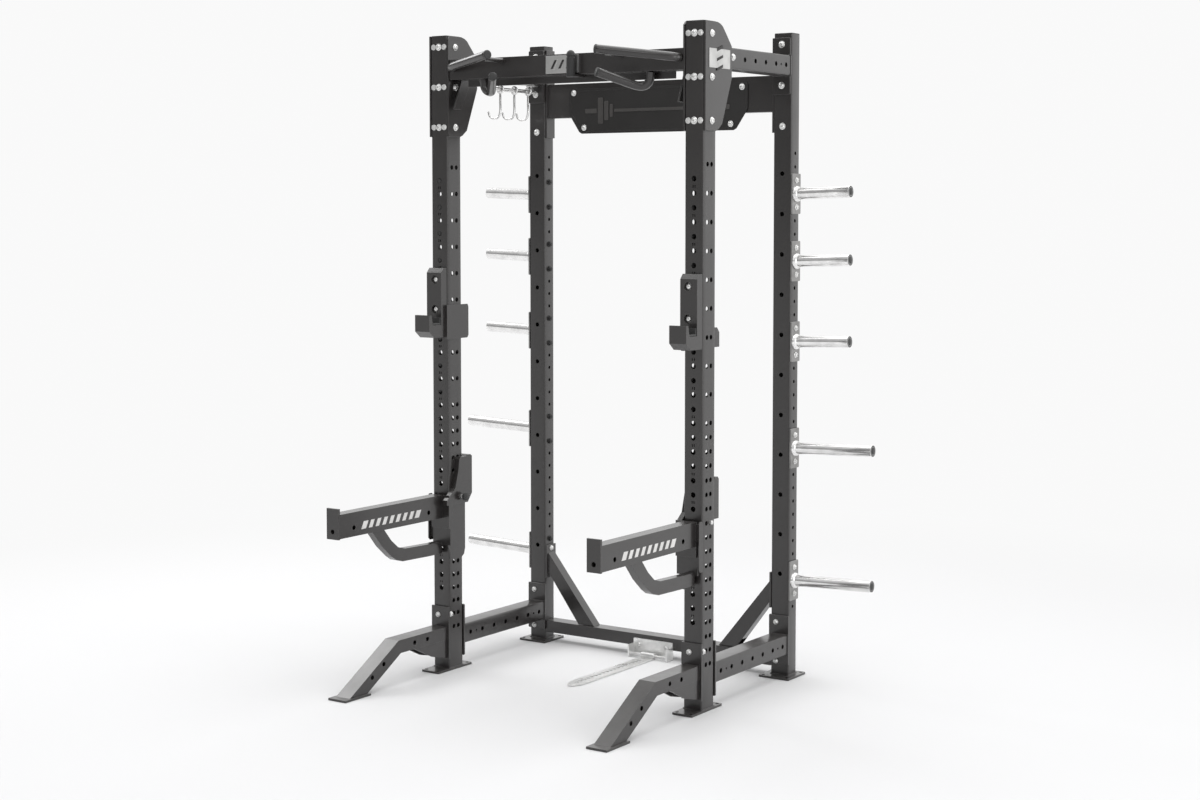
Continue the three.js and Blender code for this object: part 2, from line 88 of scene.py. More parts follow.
def off_post(s, mm):
    """An X so many millimetres outside the middle of the posts on side s, or inside if negative."""
    return s * (POST_X + mm * MM)


print("posts at x %.3f, y %.3f and %.3f; row 26 at %.3f" % (POST_X, POST_Y, REAR_Y, row(26)))

# %% [markdown]
# Shared effects come first. Powder coat is baked plastic: it flows into a very fine orange peel with
# soft swells under it. It is made from noise textures in object space, so the grain keeps its real
# size, about a millimetre, on long and short pieces alike.

# %% Shared effect: orange peel
def new_group(name, inputs, outputs):
    tree = bpy.data.node_groups.new(name, "ShaderNodeTree")
    for label, value in inputs:
        socket = tree.interface.new_socket(name=label, in_out="INPUT", socket_type="NodeSocketFloat")
        socket.default_value = value
    for label in outputs:
        tree.interface.new_socket(name=label, in_out="OUTPUT", socket_type="NodeSocketFloat")
    return tree, tree.nodes.new("NodeGroupInput"), tree.nodes.new("NodeGroupOutput")


def set_or_link(tree, socket, value):
    if isinstance(value, float):
        socket.default_value = value
    else:
        tree.links.new(value, socket)


def math_node(tree, operation, a, b, clamp=False):
    node = tree.nodes.new("ShaderNodeMath")
    node.operation = operation
    node.use_clamp = clamp
    set_or_link(tree, node.inputs[0], a)
    set_or_link(tree, node.inputs[1], b)
    return node.outputs[0]


def noise_node(tree, vector, scale, detail=2.0, roughness=0.5):
    node = tree.nodes.new("ShaderNodeTexNoise")
    node.inputs["Detail"].default_value = detail
    node.inputs["Roughness"].default_value = roughness
    tree.links.new(vector, node.inputs["Vector"])
    set_or_link(tree, node.inputs["Scale"], scale)
    return node.outputs[0]


peel, g_in, g_out = new_group(
    "orange peel", (("Grains per metre", 900.0), ("Swell", 0.35)), ("Height", "Variation"))
place = peel.nodes.new("ShaderNodeTexCoord").outputs["Object"]
fine = noise_node(peel, place, g_in.outputs["Grains per metre"], 3.0)
broad = noise_node(peel, place, 160.0, 1.0)
blotch = noise_node(peel, place, 9.0, 4.0, 0.6)
swell = math_node(peel, "MULTIPLY", broad, g_in.outputs["Swell"])
peel.links.new(math_node(peel, "ADD", fine, swell), g_out.inputs["Height"])
peel.links.new(blotch, g_out.inputs["Variation"])
print("group made:", peel.name)

# %% [markdown]
# Corners of painted steel are where plates and bars knock: the coat is thin there and catches the
# light. A Bevel node rounds the normal near an edge, so where it parts from the true normal there is
# an edge, however large the faces beside it are. Noise breaks that band up so it isn't an even outline.
# Dust is the other mark of use: it lies on what faces up.

# %% Shared effects: edge wear and dust
EDGE_RADIUS = 0.0022
wear, g_in, g_out = new_group("edge wear", (("Amount", 0.5), ("Breaks per metre", 60.0)), ("Mask",))
rounded_normal = wear.nodes.new("ShaderNodeBevel")
rounded_normal.samples = 4
rounded_normal.inputs["Radius"].default_value = EDGE_RADIUS
parting = wear.nodes.new("ShaderNodeVectorMath")
parting.operation = "DOT_PRODUCT"
wear.links.new(rounded_normal.outputs[0], parting.inputs[0])
wear.links.new(wear.nodes.new("ShaderNodeNewGeometry").outputs["Normal"], parting.inputs[1])
parted = math_node(wear, "SUBTRACT", 0.985, parting.outputs["Value"])
sharp = math_node(wear, "MULTIPLY", parted, 9.0, True)
place = wear.nodes.new("ShaderNodeTexCoord").outputs["Object"]
breaks = noise_node(wear, place, g_in.outputs["Breaks per metre"], 5.0, 0.65)
broken = math_node(wear, "MULTIPLY", math_node(wear, "SUBTRACT", breaks, 0.42), 5.0, True)
mask = math_node(wear, "MULTIPLY", math_node(wear, "MULTIPLY", sharp, broken), g_in.outputs["Amount"], True)
wear.links.new(mask, g_out.inputs["Mask"])

dust, g_in, g_out = new_group("settled dust", (("Amount", 0.3), ("Patches per metre", 14.0)), ("Mask",))
normal = dust.nodes.new("ShaderNodeNewGeometry").outputs["Normal"]
split = dust.nodes.new("ShaderNodeSeparateXYZ")
dust.links.new(normal, split.inputs[0])
up = math_node(dust, "MULTIPLY", math_node(dust, "SUBTRACT", split.outputs["Z"], 0.55), 2.2, True)
place = dust.nodes.new("ShaderNodeTexCoord").outputs["Object"]
patches = noise_node(dust, place, g_in.outputs["Patches per metre"], 6.0, 0.6)
lying = math_node(dust, "MULTIPLY", up, patches)
dust.links.new(math_node(dust, "MULTIPLY", lying, g_in.outputs["Amount"], True), g_out.inputs["Mask"])
print("groups made:", wear.name, "and", dust.name)

# %% [markdown]
# Brushed and rolled metal has fine lines along one direction. Stretching the space of a noise texture
# along that direction turns its grains into lines. The three scale inputs say how many lines there are
# per metre along each axis, so the same group serves an upright plate and a flat bar.

# %% Shared effect: brushed lines
brushed, g_in, g_out = new_group(
    "brushed lines", (("Along X", 12.0), ("Along Y", 900.0), ("Along Z", 900.0)), ("Height", "Variation"))
place = brushed.nodes.new("ShaderNodeTexCoord").outputs["Object"]
axes = brushed.nodes.new("ShaderNodeCombineXYZ")
for k in range(3):
    brushed.links.new(g_in.outputs[k], axes.inputs[k])
stretch = brushed.nodes.new("ShaderNodeVectorMath")
stretch.operation = "MULTIPLY"
brushed.links.new(place, stretch.inputs[0])
brushed.links.new(axes.outputs[0], stretch.inputs[1])
lines = noise_node(brushed, stretch.outputs[0], 1.0, 4.0, 0.6)
brushed.links.new(lines, g_out.inputs["Height"])
brushed.links.new(noise_node(brushed, place, 22.0, 4.0), g_out.inputs["Variation"])
print("group made:", brushed.name)

# %% [markdown]
# The finishes. Each material holds its own Principled shader, with plain values set on its sockets.
# Only what changes over the surface comes through a link: the colour mixed by wear and dust, the
# roughness varied a little, and the bump from the grain.

# %% Helpers for materials
def new_material(name, colour, roughness, metallic=0.0):
    material = bpy.data.materials.new(name)
    material.use_nodes = True
    material.diffuse_color = (*colour, 1.0)
    shader = material.node_tree.nodes["Principled BSDF"]
    shader.inputs["Base Color"].default_value = (*colour, 1.0)
    shader.inputs["Roughness"].default_value = roughness
    shader.inputs["Metallic"].default_value = metallic
    return material, material.node_tree, shader


def group_node(tree, group, **values):
    node = tree.nodes.new("ShaderNodeGroup")
    node.node_tree = group
    for label, value in values.items():
        node.inputs[label.replace("_", " ")].default_value = value
    return node


def tint(tree, mask, colour, over):
    """Mixes a second colour over the first by a mask; returns the colour output."""
    mix = tree.nodes.new("ShaderNodeMix")
    mix.data_type = "RGBA"
    tree.links.new(mask, mix.inputs[0])
    if isinstance(over, tuple):
        mix.inputs[6].default_value = (*over, 1.0)
    else:
        tree.links.new(over, mix.inputs[6])
    mix.inputs[7].default_value = (*colour, 1.0)
    return mix.outputs[2]


def spread(tree, value, low, high):
    node = tree.nodes.new("ShaderNodeMapRange")
    tree.links.new(value, node.inputs["Value"])
    node.inputs["From Min"].default_value = 0.3
    node.inputs["From Max"].default_value = 0.7
    node.inputs["To Min"].default_value = low
    node.inputs["To Max"].default_value = high
    return node.outputs[0]


def bump(tree, height, shader, distance, strength):
    node = tree.nodes.new("ShaderNodeBump")
    node.inputs["Strength"].default_value = strength
    node.inputs["Distance"].default_value = distance
    tree.links.new(height, node.inputs["Height"])
    tree.links.new(node.outputs[0], shader.inputs["Normal"])


print("material helpers ready")

# %% [markdown]
# Black powder coat covers nearly the whole rack. It isn't pure black: it is a warm charcoal under
# studio light, satin, with a clear gloss layer that lights up the faces that look up. Bare steel
# shows through only in small broken spots on the sharpest corners.

# %% Finish: black powder coat
BARE_STEEL = (0.20, 0.19, 0.185)
PALE_DUST = (0.30, 0.29, 0.28)


def powder_coat(name, colour, roughness, worn, gloss=0.6):
    material, tree, shader = new_material(name, colour, roughness)
    coat = group_node(tree, peel, Grains_per_metre=850.0, Swell=0.4)
    edges = group_node(tree, wear, Amount=worn, Breaks_per_metre=70.0)
    settled = group_node(tree, dust, Amount=0.22, Patches_per_metre=16.0)
    lighter = tuple(min(1.0, c * 1.3) for c in colour)
    base = tint(tree, spread(tree, coat.outputs["Variation"], 0.0, 0.5), lighter, colour)
    worn_colour = tint(tree, edges.outputs["Mask"], BARE_STEEL, base)
    dusty = tint(tree, settled.outputs["Mask"], PALE_DUST, worn_colour)
    tree.links.new(dusty, shader.inputs["Base Color"])
    tree.links.new(spread(tree, coat.outputs["Variation"], roughness - 0.05, roughness + 0.07),
                   shader.inputs["Roughness"])
    shader.inputs["Specular IOR Level"].default_value = 0.5
    shader.inputs["Coat Weight"].default_value = gloss
    shader.inputs["Coat Roughness"].default_value = 0.16
    bump(tree, coat.outputs["Height"], shader, 0.00006, 0.6)
    return material


BLACK = powder_coat("black powder coat", (0.017, 0.015, 0.0145), 0.36, 0.4)
SIGN_FACE = powder_coat("sign powder coat", (0.012, 0.011, 0.0105), 0.5, 0.2, 0.05)
MOTIF = powder_coat("raised grey motif", (0.050, 0.047, 0.045), 0.45, 0.4, 0.1)
print("coats:", BLACK.name, SIGN_FACE.name, MOTIF.name)

# %% [markdown]
# The pegs and hooks are chrome plated: nearly a mirror, but bar sleeves rub faint rings and scuffs
# into it, so its roughness wanders. The bolts, pins and the floor bar are bright zinc: softer, cloudy,
# with rolling lines. The badges and the peg plates are plain steel, brushed or satin. All are metals,
# so they are coloured by what they reflect. The bars on the arms are a pale paint.

# %% Finishes: chrome, zinc, the badges and the peg plates
METAL_DUST = (0.5, 0.49, 0.47)


def metal(name, colour, low, high, line_scales, depth, dirt, metallic=1.0):
    material, tree, shader = new_material(name, colour, low, metallic)
    along_x, along_y, along_z = line_scales
    lines = group_node(tree, brushed, Along_X=along_x, Along_Y=along_y, Along_Z=along_z)
    settled = group_node(tree, dust, Amount=dirt, Patches_per_metre=25.0)
    darker = tuple(c * 0.78 for c in colour)
    cloudy = tint(tree, spread(tree, lines.outputs["Variation"], 0.0, 1.0), darker, colour)
    tree.links.new(tint(tree, settled.outputs["Mask"], METAL_DUST, cloudy), shader.inputs["Base Color"])
    tree.links.new(spread(tree, lines.outputs["Variation"], low, high), shader.inputs["Roughness"])
    bump(tree, lines.outputs["Height"], shader, depth, 0.5)
    return material


POLISHED, BRUSHED = 0.000001, 0.000006
CHROME = metal("chrome plate", (0.95, 0.945, 0.94), 0.10, 0.18, (25.0, 500.0, 500.0), POLISHED, 0.1, 0.82)
ZINC = metal("bright zinc", (0.92, 0.92, 0.91), 0.24, 0.42, (600.0, 20.0, 600.0), BRUSHED, 0.2, 0.8)
BADGE = metal("brushed badge", (0.62, 0.62, 0.61), 0.34, 0.46, (14.0, 1200.0, 1200.0), BRUSHED, 0.05)
PLATE = metal("satin plate steel", (0.34, 0.335, 0.33), 0.3, 0.45, (20.0, 900.0, 900.0), BRUSHED, 0.1)
LABEL = powder_coat("pale label paint", (0.62, 0.61, 0.60), 0.45, 0.1, 0.1)
print("metals:", CHROME.name, ZINC.name, BADGE.name, PLATE.name)

# %% [markdown]
# Moulded caps, the band peg and the cup liners are plastic. Their bump is a soft spark-eroded grain,
# coarser than the powder coat, and the liners show pale scuffs where the bar is racked.

# %% Finishes: moulded plastic and liner
SCUFF = (0.5, 0.5, 0.49)


def moulded(name, colour, roughness, grain, scuff):
    material, tree, shader = new_material(name, colour, roughness)
    skin = group_node(tree, peel, Grains_per_metre=grain, Swell=0.1)
    edges = group_node(tree, wear, Amount=scuff, Breaks_per_metre=130.0)
    lighter = tuple(min(1.0, c * 1.5) for c in colour)
    base = tint(tree, spread(tree, skin.outputs["Variation"], 0.0, 0.6), lighter, colour)
    tree.links.new(tint(tree, edges.outputs["Mask"], SCUFF, base), shader.inputs["Base Color"])
    tree.links.new(spread(tree, skin.outputs["Variation"], roughness - 0.06, roughness + 0.08),
                   shader.inputs["Roughness"])
    bump(tree, skin.outputs["Height"], shader, 0.0001, 0.7)
    return material


PLASTIC = moulded("black moulded plastic", (0.018, 0.018, 0.018), 0.5, 1500.0, 0.2)
RING = moulded("grey cap ring", (0.16, 0.16, 0.16), 0.45, 1500.0, 0.3)
LINER = moulded("cup liner", (0.030, 0.030, 0.030), 0.5, 700.0, 0.4)
print("plastics:", PLASTIC.name, RING.name, LINER.name)

# %% [markdown]
# Mesh helpers. Every piece is built straight from vertices with bmesh: an outline, a wall pushed out
# of it, and a softened rim. Places are in the frame's metres and sizes are in millimetres. Finished
# pieces ride on a body of the frame by name, and stand for the plain solid they replace.

# %% Helpers for pieces
TUBE_CORNER = 6
TUBE_WALL = 3.2
CORNER_STEPS = 5
SLOTS = {CHROME: "chrome", ZINC: "zinc", BADGE: "zinc", PLATE: "zinc", PLASTIC: "black_plastic",
         RING: "black_plastic", LINER: "grey_plastic"}


def finish_piece(name, bm, material, body="rack", stands_for=(), smooth=32, slot=None):
    slot = slot or SLOTS.get(material, "black_paint")
    bmesh.ops.recalc_face_normals(bm, faces=bm.faces)
    mesh = bpy.data.meshes.new(name)
    bm.to_mesh(mesh)
    bm.free()
    mesh.shade_smooth()
    mesh.set_sharp_from_angle(angle=math.radians(smooth))
    mesh.materials.append(material)
    piece = bpy.data.objects.new(name, mesh)
    bpy.context.scene.collection.objects.link(piece)
    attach(piece, body)
    if stands_for:
        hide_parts(*stands_for)
    return piece


def basis(axis):
    """Two directions square to an axis, so that (first, second, axis) is right-handed."""
    k = "XYZ".index(axis)
    units = [Vector([i == j for j in range(3)]) for i in range(3)]
    return units[(k + 1) % 3], units[(k + 2) % 3], units[k]


def rounded(half_a, half_b, radius):
    """A rectangle outline with round corners, as (a, b) pairs going anticlockwise."""
    points = []
    for cx, cy, start in ((1, 1, 0), (-1, 1, 90), (-1, -1, 180), (1, -1, 270)):
        for k in range(CORNER_STEPS + 1):
            angle = math.radians(start + 90 * k / CORNER_STEPS)
            points.append((cx * (half_a - radius) + radius * math.cos(angle),
                           cy * (half_b - radius) + radius * math.sin(angle)))
    return points


def ring_of(bm, outline, centre, axis, along):
    """Vertices of an outline in millimetres, moved a number of metres along the axis."""
    a, b, c = basis(axis)
    return [bm.verts.new(Vector(centre) + a * (u * MM) + b * (v * MM) + c * along) for u, v in outline]


def skin(bm, first, second):
    count = len(first)
    for k in range(count):
        bm.faces.new((first[k], first[(k + 1) % count], second[(k + 1) % count], second[k]))


def close_ends(bm, first, last):
    bm.faces.new(list(reversed(first)))
    bm.faces.new(last)


def add_tube(bm, half, centre, axis, start, end):
    """An open square tube with rolled corners and a real wall, from start to end in metres."""
    outer = rounded(half[0], half[1], TUBE_CORNER)
    inner = rounded(half[0] - TUBE_WALL, half[1] - TUBE_WALL, TUBE_CORNER - TUBE_WALL)
    rings = [ring_of(bm, outline, centre, axis, along)
             for outline in (outer, inner) for along in (start, end)]
    skin(bm, rings[0], rings[1])
    skin(bm, rings[3], rings[2])
    skin(bm, rings[2], rings[0])
    skin(bm, rings[1], rings[3])


def add_plate(bm, outline, centre, axis, thickness, rim=0.8):
    """A solid plate with a small chamfer round both faces."""
    count = len(outline)
    mid = (sum(p[0] for p in outline) / count, sum(p[1] for p in outline) / count)
    pulled = []
    for u, v in outline:
        away = Vector((u - mid[0], v - mid[1]))
        scale = 1 - rim / away.length
        pulled.append((mid[0] + away.x * scale, mid[1] + away.y * scale))
    layers = ((pulled, 0), (outline, rim), (outline, thickness - rim), (pulled, thickness))
    rings = [ring_of(bm, shape, centre, axis, along * MM) for shape, along in layers]
    for low, high in zip(rings, rings[1:]):
        skin(bm, low, high)
    close_ends(bm, rings[0], rings[-1])


def turns_of(sides):
    return [2 * math.pi * k / sides for k in range(sides)]


def add_drill(bm, centre, axis, radius, length=100, sides=20):
    """A round cutter, centred on a hole."""
    outline = [(radius * math.cos(a), radius * math.sin(a)) for a in turns_of(sides)]
    low, high = [ring_of(bm, outline, centre, axis, end * length * MM / 2) for end in (-1, 1)]
    skin(bm, low, high)
    close_ends(bm, low, high)


def add_slot(bm, centre, half):
    """A square cutter, for the index marks."""
    corners = [(x, y, z) for x in (-1, 1) for y in (-1, 1) for z in (-1, 1)]
    verts = [bm.verts.new([centre[k] + corner[k] * half[k] * MM for k in range(3)]) for corner in corners]
    for face in ((0, 1, 3, 2), (4, 6, 7, 5), (0, 4, 5, 1), (2, 3, 7, 6), (0, 2, 6, 4), (1, 5, 7, 3)):
        bm.faces.new([verts[k] for k in face])


def punched(bm, drills):
    """Returns a new bmesh: the body with every drill taken out of it."""
    parts = []
    for label, source in (("body", bm), ("drills", drills)):
        bmesh.ops.recalc_face_normals(source, faces=source.faces)
        mesh = bpy.data.meshes.new(label)
        source.to_mesh(mesh)
        source.free()
        parts.append(bpy.data.objects.new(label, mesh))
        bpy.context.scene.collection.objects.link(parts[-1])
    body, cutter = parts
    modifier = body.modifiers.new("punch", "BOOLEAN")
    modifier.operation = "DIFFERENCE"
    modifier.solver = "EXACT"
    modifier.object = cutter
    result = bmesh.new()
    result.from_object(body, bpy.context.evaluated_depsgraph_get())
    for part in parts:
        mesh = part.data
        bpy.data.objects.remove(part)
        bpy.data.meshes.remove(mesh)
    return result


print("piece helpers ready")

# %% [markdown]
# The front posts are the heart of the rack: a 76 by 85 mm tube with rolled corners and three rows of
# holes. The sides have twin holes in every second row at the top and in every row lower down; the
# front has one hole per row, with two small index cuts above every second one. The tube is skinned
# from two outlines and the holes are taken out with one exact boolean, because real holes let light
# through.

# %% Front posts
TWIN_ROWS = list(range(38, 20, -2)) + list(range(20, 2, -1))
FRONT_ROWS = list(range(37, 5, -1))
FOOT_THICK = 8
TWIN_HOLE, FRONT_HOLE = 9, 10
INDEX_RISE = 24 * MM


def post_tube(end, side, centre, half, drills):
    body = bmesh.new()
    add_tube(body, half, centre, "Z", FOOT_THICK * MM, POST_TOP)
    piece = finish_piece("%s_post_tube_%s" % (end, side), punched(body, drills), BLACK,
                         stands_for=("%s_post_%s" % (end, side),))
    print(piece.name, len(piece.data.polygons), "faces")


for side, s in SIDES:
    x = s * POST_X
    drills = bmesh.new()
    for n in TWIN_ROWS:
        for shift in (-PAIR / 2, PAIR / 2):
            add_drill(drills, (x, POST_Y + shift, row(n)), "X", TWIN_HOLE)
    for n in FRONT_ROWS:
        add_drill(drills, (x, POST_Y, row(n)), "Y", FRONT_HOLE)
        if n % 2 == 0:
            for shift in (-4 * MM, 4 * MM):
                add_slot(drills, (x + shift, FRONT_FACE, row(n) + INDEX_RISE), (2, 5, 5))
    post_tube("front", side, (x, POST_Y, 0), FRONT_HALF, drills)

# %% [markdown]
# The rear posts are a shallower tube. Their holes follow two grids: wide spaced ones on the front and
# back faces for the cross beams, and small ones on the sides, two inches apart, where the plate pegs
# bolt on.

# %% Rear posts
PEG_ROWS = (36, 31, 25, 17, 7)
BEAM_HOLE, PEG_HOLE = 9, 6.8
for side, s in SIDES:
    x = s * POST_X
    drills = bmesh.new()
    for k in range(11):
        add_drill(drills, (x, REAR_Y, row(37.5 - 3 * k)), "Y", BEAM_HOLE, 80)
    for n in range(39, 4, -1):
        if n not in PEG_ROWS:
            add_drill(drills, (x, REAR_Y, row(n)), "X", PEG_HOLE)
    post_tube("rear", side, (x, REAR_Y, 0), REAR_HALF, drills)

# %% [markdown]
# Each post stands on a steel foot plate with anchor holes in its corners, and a plastic cap closes the
# top of the tube. A weld bead runs round the foot: a thin roll of steel with the ripple of a hand-held
# torch, made as a tube whose thickness varies from point to point.

# %% Foot plates, caps and weld beads
ANCHOR_HOLE = 7
ANCHOR_INSET = 14
BEAD_RADIUS = 2.6 * MM
BEAD_STEP = 3.2 * MM
AROUND = ((-1, -1), (1, -1), (1, 1), (-1, 1))


def laid_on(s, mm, thickness):
    """The low X of a plate laid on a face so many millimetres outside a post's middle."""
    return off_post(s, mm) - (0 if s > 0 else thickness * MM)


def plate_piece(name, half_a, half_b, radius, centre, axis, thickness, holes=(), material=BLACK):
    bm = bmesh.new()
    add_plate(bm, rounded(half_a, half_b, radius), centre, axis, thickness)
    if holes:
        drills = bmesh.new()
        for point in holes:
            add_drill(drills, point, axis, ANCHOR_HOLE, 60, 24)
        bm = punched(bm, drills)
    finish_piece(name, bm, material)


def weld(name, corners):
    """A rippled bead along a closed run of corner points."""
    points = []
    for k, corner in enumerate(corners):
        a, b = Vector(corner), Vector(corners[(k + 1) % len(corners)])
        count = max(2, int((b - a).length / BEAD_STEP))
        points += [a.lerp(b, j / count) for j in range(count)]
    curve = bpy.data.curves.new(name, "CURVE")
    curve.dimensions = "3D"
    curve.bevel_depth = BEAD_RADIUS
    curve.bevel_resolution = 2
    spline = curve.splines.new("POLY")
    spline.points.add(len(points) - 1)
    spline.use_cyclic_u = True
    for k, point in enumerate(points):
        spline.points[k].co = (*point, 1)
        spline.points[k].radius = 1.0 + 0.16 * math.sin(k * 2.1) + random.uniform(-0.08, 0.08)
    source = bpy.data.objects.new(name + "_line", curve)
    bpy.context.scene.collection.objects.link(source)
    bead = bpy.data.meshes.new_from_object(source.evaluated_get(bpy.context.evaluated_depsgraph_get()))
    bm = bmesh.new()
    bm.from_mesh(bead)
    bpy.data.meshes.remove(bead)
    bpy.data.objects.remove(source)
    bpy.data.curves.remove(curve)
    finish_piece(name, bm, BLACK, smooth=60)


FRONT_FOOT = (42, 105, POST_X, at_y(-10))
REAR_FOOT = (65, 70, POST_X - 2 * MM, at_y(617))
for side, s in SIDES:
    for end, centre_y, half, foot in (("front", POST_Y, FRONT_HALF, FRONT_FOOT),
                                      ("rear", REAR_Y, REAR_HALF, REAR_FOOT)):
        half_a, half_b, foot_x, foot_y = foot
        a, b = (half_a - ANCHOR_INSET) * MM, (half_b - ANCHOR_INSET) * MM
        holes = [(s * foot_x + i * a, foot_y + j * b, 4 * MM) for i in (-1, 1) for j in (-1, 1)]
        plate_piece(end + "_foot_" + side, half_a, half_b, 5, (s * foot_x, foot_y, 0), "Z", FOOT_THICK,
                    holes)
        x, z = s * POST_X, (FOOT_THICK + 0.4) * MM
        weld(end + "_foot_weld_" + side,
             [(x + i * half[0] * MM, centre_y + j * half[1] * MM, z) for i, j in AROUND])
        plate_piece(end + "_cap_" + side, half[0] - 0.5, half[1] - 0.5, 5.5, (x, centre_y, POST_TOP), "Z", 3,
                    material=PLASTIC)
print("feet, caps and beads made")

# %% [markdown]
# The side tubes tie front to rear, at the floor and at the top. Each is a punched 76 mm square tube
# with a welded flange at its ends. The holes are three inches apart, with small ones for the
# accessory clips, and each flange is bolted to its post.

# %% Side tubes
SIDE_HALF = (38, 38)
SIDE_HOLE, CLIP_HOLE = 9, 4.5
SIDE_STEP = 76.2
FLANGE_THICK = 8
TOP_TUBE_Z = 2.326
BASE_TUBE_Z = 0.1285


def side_tube(level, side, s, centre_z, big, small, flanges):
    """A flange is given by whether it is the rear one, and by its edges in X and Z in millimetres."""
    name, node = "%s_side_%s" % (level, side), "%s_side_tube_%s" % (level, side)
    low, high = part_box(node)
    x = s * POST_X
    bm = bmesh.new()
    add_tube(bm, SIDE_HALF, (x, 0, centre_z), "Y", low[1], high[1])
    drills = bmesh.new()
    for y in big:
        add_drill(drills, (x, at_y(y), centre_z), "X", SIDE_HOLE)
    for y in small:
        add_drill(drills, (x, at_y(y), centre_z), "X", CLIP_HOLE, sides=14)
    finish_piece(name + "_tube", punched(bm, drills), BLACK, stands_for=(node,))
    for k, (rear, x0, x1, z0, z1) in enumerate(flanges):
        start = high[1] - FLANGE_THICK * MM if rear else low[1]
        plate_piece("%s_flange_%d" % (name, k + 1), (z1 - z0) / 2, (x1 - x0) / 2, 4,
                    (s * (x0 + x1) / 2 * MM, start, (z0 + z1) / 2 * MM), "Y", FLANGE_THICK)
        y = start if rear else start + FLANGE_THICK * MM
        weld("%s_weld_%d" % (name, k + 1),
             [(x + i * SIDE_HALF[0] * MM, y, centre_z + j * SIDE_HALF[1] * MM) for i, j in AROUND])


for side, s in SIDES:
    side_tube("top", side, s, TOP_TUBE_Z, [244.5 + SIDE_STEP * k for k in range(5)], (511,),
              [(True, 532, 607, 2218, 2430)])
    side_tube("base", side, s, BASE_TUBE_Z, [91.3 + SIDE_STEP * k for k in range(7)], (129, 511),
              [(False, 530, 614, 45, 246), (True, 530, 614, 50, 240)])
print("side tubes made")

# %% [markdown]
# Plates, brackets and bent tubes already have the right shape in the frame, but their edges are
# knife sharp. Real cut steel has a small radius and thick paint rounds it further. A copy of each
# solid is cleaned of its flat triangles and its edges are bevelled, so they catch a thin highlight.

# %% Softened steel pieces
SHARP_FROM = math.radians(24)


def soften(node, width, material, body="rack"):
    """Edges that turn by more than SHARP_FROM get a bevel of the given width."""
    bm = bmesh.new()
    bm.from_mesh(frame["nodes"][node].data)
    bmesh.ops.remove_doubles(bm, verts=bm.verts, dist=1e-5)
    bmesh.ops.dissolve_limit(bm, angle_limit=math.radians(1.0), verts=bm.verts, edges=bm.edges)
    edges = [e for e in bm.edges if len(e.link_faces) == 2 and e.calc_face_angle(0) > SHARP_FROM]
    bmesh.ops.bevel(bm, geom=edges, offset=width * MM, offset_type="OFFSET", segments=2, profile=0.6,
                    affect="EDGES", clamp_overlap=True)
    piece = finish_piece(node + "_steel", bm, material, body, (node,), smooth=40)
    piece.modifiers.new("even shading", "WEIGHTED_NORMAL").keep_sharp = True


for side, s in SIDES:
    for node, width in (("gusset_outer_", 1.2), ("gusset_inner_", 1.2), ("front_leg_", 2.0),
                        ("diagonal_brace_", 2.0)):
        soften(node + side, width, BLACK)
    soften("j_cup_" + side, 1.3, BLACK, "j_cup_" + side)
    soften("j_cup_liner_" + side, 1.0, LINER, "j_cup_" + side)
    soften("spotter_arm_" + side, 1.5, BLACK, "spotter_arm_" + side)
for node, width in (("front_top_beam", 2.5), ("rear_top_beam", 2.0), ("rear_foot_beam", 3.0)):
    soften(node, width, BLACK)
soften("sign_plate", 0.5, SIGN_FACE)
soften("beam_badge", 0.7, BADGE)
soften("tie_clip", 0.7, ZINC)
print("softened pieces made")

# %% [markdown]
# Round pieces are turned or bent from bar. A turned piece is a profile spun round its axis. A bent
# one follows a smooth line through a few points, and its section is swept along that line.

# %% Helpers for turned and bent pieces
DOME = 0.35


def turned(bm, profile, origin, direction, sides=36):
    """Spins (distance along, radius) pairs in millimetres round a direction."""
    axis = Vector(direction).normalized()
    side_a = axis.orthogonal().normalized()
    side_b = axis.cross(side_a)
    rings = []
    for along, radius in profile:
        centre = Vector(origin) + axis * (along * MM)
        rings.append([bm.verts.new(centre + radius * MM * (side_a * math.cos(a) + side_b * math.sin(a)))
                      for a in (turns_of(sides) if radius else (0,))])
    for low, high in zip(rings, rings[1:]):
        for k in range(sides):
            j = (k + 1) % sides
            if len(low) == 1:
                bm.faces.new((low[0], high[k], high[j]))
            elif len(high) == 1:
                bm.faces.new((low[k], low[j], high[0]))
            else:
                bm.faces.new((low[k], low[j], high[j], high[k]))


def turned_piece(name, profile, origin, direction, material, **finish):
    bm = bmesh.new()
    turned(bm, profile, origin, direction)
    finish_piece(name, bm, material, **finish)


def smooth_line(points, count):
    """Points along a smooth line through the given ones."""
    given = [Vector(p) for p in points]
    padded = [given[0] * 2 - given[1]] + given + [given[-1] * 2 - given[-2]]
    line = []
    for k in range(len(given) - 1):
        p0, p1, p2, p3 = padded[k:k + 4]
        for j in range(count):
            t = j / count
            a, b = (p2 - p0) * 0.5, (p3 - p1) * 0.5
            line.append((2 * t**3 - 3 * t**2 + 1) * p1 + (t**3 - 2 * t**2 + t) * a
                        + (3 * t**2 - 2 * t**3) * p2 + (t**3 - t**2) * b)
    return line + [given[-1]]


